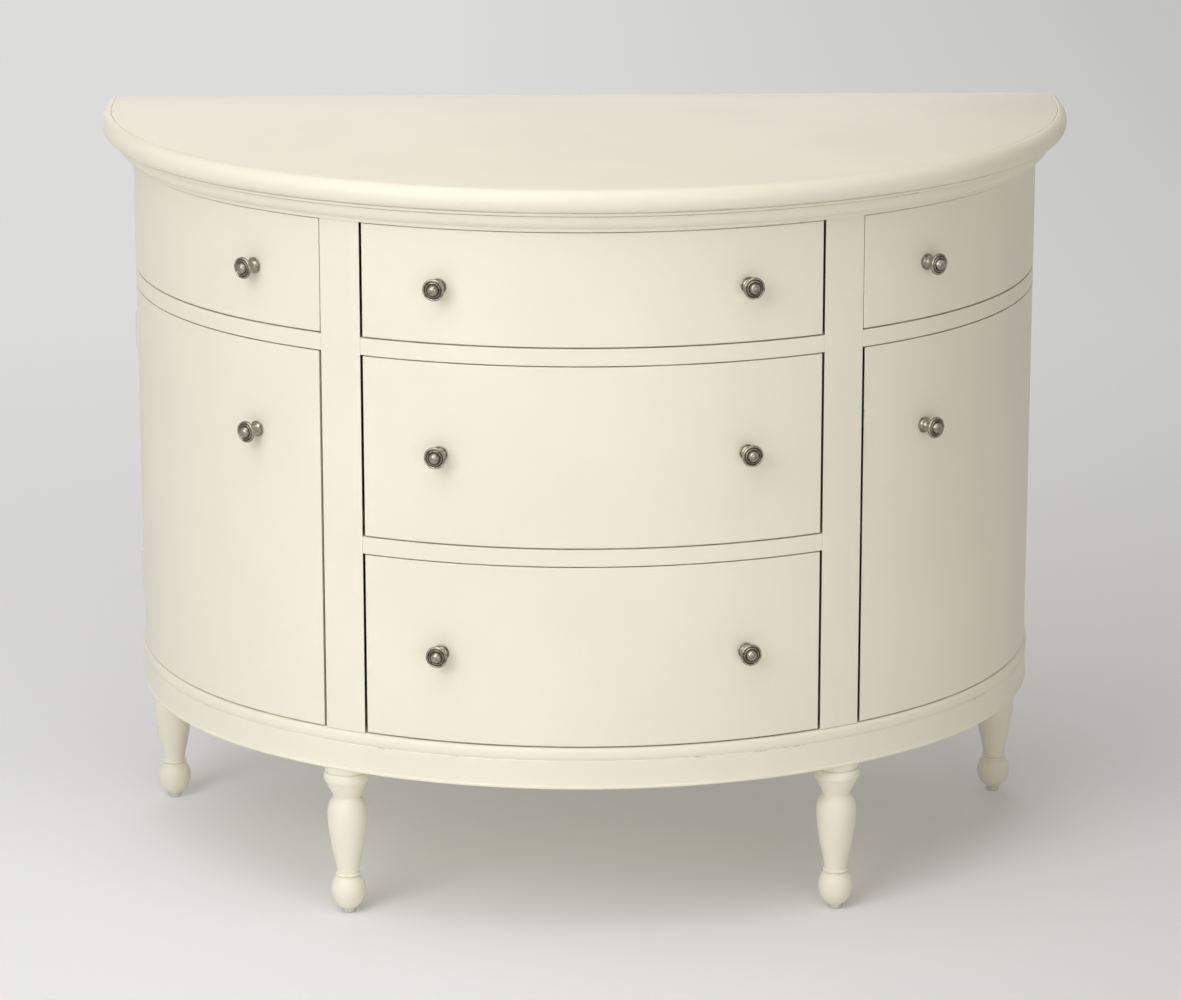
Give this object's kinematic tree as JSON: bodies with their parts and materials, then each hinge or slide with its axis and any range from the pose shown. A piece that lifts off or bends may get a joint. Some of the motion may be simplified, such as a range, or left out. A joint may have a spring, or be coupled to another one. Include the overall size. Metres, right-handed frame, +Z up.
{
  "type": "sideboard",
  "caption": "Half-moon painted sideboard with bow-fronted drawers in the middle, a curved cupboard door under a small drawer on each side, and turned legs.",
  "frame": {"origin": "on the floor, below the middle of the whole piece's outline in plan", "axes": "+X to the right seen from the front, the bowed front faces -Y and the flat back +Y, +Z up"},
  "size_m": [1.186, 0.5969, 0.907],
  "materials": {
    "cream_paint": "satin cream paint with lightly rubbed edges",
    "drawer_wood": "clear-lacquered solid wood",
    "drawer_plywood": "clear-lacquered plywood",
    "frame_wood": "bare planed softwood",
    "back_plywood": "thinly painted plywood",
    "aged_pewter": "aged pewter, darkened in the grooves",
    "hinge_steel": "nickel-plated steel",
    "catch_plastic": "moulded plastic",
    "glide_steel": "nickel-plated steel glides"
  },
  "bodies": {
    "case": {"apron_back_rail": "cream_paint", "apron_moulding": "cream_paint", "back_panel": "back_plywood", "back_post_left": "cream_paint", "back_post_right": "cream_paint", "bottom_panel": "cream_paint", "centre_drawer_runners": "frame_wood", "centre_rail_lower": "cream_paint", "centre_rail_upper": "cream_paint", "corner_blocks": "frame_wood", "door_catches": "catch_plastic", "foot_glides": "glide_steel", "hinge_leaves_case": "hinge_steel", "leg_back_left": "cream_paint", "leg_back_right": "cream_paint", "leg_front_left": "cream_paint", "leg_front_right": "cream_paint", "partition_left": "cream_paint", "partition_right": "cream_paint", "shelf_cleats": "cream_paint", "shelf_left": "cream_paint", "shelf_right": "cream_paint", "side_drawer_runners": "frame_wood", "side_rail_left": "cream_paint", "side_rail_right": "cream_paint", "stile_left": "cream_paint", "stile_right": "cream_paint", "top_edge_moulding": "cream_paint", "top_panel": "cream_paint"},
    "door_left": {"door_knob_left": "aged_pewter", "door_panel_left": "cream_paint", "hinge_leaves_door_left": "hinge_steel"},
    "door_right": {"door_knob_right": "aged_pewter", "door_panel_right": "cream_paint", "hinge_leaves_door_right": "hinge_steel"},
    "drawer_lower": {"drawer_back_lower": "drawer_wood", "drawer_bottom_lower": "drawer_plywood", "drawer_front_lower": "cream_paint", "drawer_knobs_lower": "aged_pewter", "drawer_sides_lower": "drawer_wood"},
    "drawer_middle": {"drawer_back_middle": "drawer_wood", "drawer_bottom_middle": "drawer_plywood", "drawer_front_middle": "cream_paint", "drawer_knobs_middle": "aged_pewter", "drawer_sides_middle": "drawer_wood"},
    "drawer_upper": {"drawer_back_upper": "drawer_wood", "drawer_bottom_upper": "drawer_plywood", "drawer_front_upper": "cream_paint", "drawer_knobs_upper": "aged_pewter", "drawer_sides_upper": "drawer_wood"},
    "side_drawer_left": {"side_drawer_back_left": "drawer_wood", "side_drawer_bottom_left": "drawer_plywood", "side_drawer_front_left": "cream_paint", "side_drawer_knob_left": "aged_pewter", "side_drawer_sides_left": "drawer_wood"},
    "side_drawer_right": {"side_drawer_back_right": "drawer_wood", "side_drawer_bottom_right": "drawer_plywood", "side_drawer_front_right": "cream_paint", "side_drawer_knob_right": "aged_pewter", "side_drawer_sides_right": "drawer_wood"}
  },
  "joints": [
    {"name": "drawer_lower_slide", "type": "slide", "parent": "case", "child": "drawer_lower", "axis": [0, -1, 0], "range_m": [0, 0.34]},
    {"name": "drawer_middle_slide", "type": "slide", "parent": "case", "child": "drawer_middle", "axis": [0, -1, 0], "range_m": [0, 0.34]},
    {"name": "drawer_upper_slide", "type": "slide", "parent": "case", "child": "drawer_upper", "axis": [0, -1, 0], "range_m": [0, 0.34]},
    {"name": "side_drawer_left_slide", "type": "slide", "parent": "case", "child": "side_drawer_left", "axis": [-0.6494, -0.7604, 0], "range_m": [0, 0.18]},
    {"name": "side_drawer_right_slide", "type": "slide", "parent": "case", "child": "side_drawer_right", "axis": [0.6494, -0.7604, 0], "range_m": [0, 0.18]},
    {"name": "door_left_hinge", "type": "hinge", "parent": "case", "child": "door_left", "pos_m": [-0.5572, 0.2473, 0.466], "axis": [0, 0, -1], "range_deg": [0, 110]},
    {"name": "door_right_hinge", "type": "hinge", "parent": "case", "child": "door_right", "pos_m": [0.5572, 0.2473, 0.466], "axis": [0, 0, 1], "range_deg": [0, 110]}
  ]
}
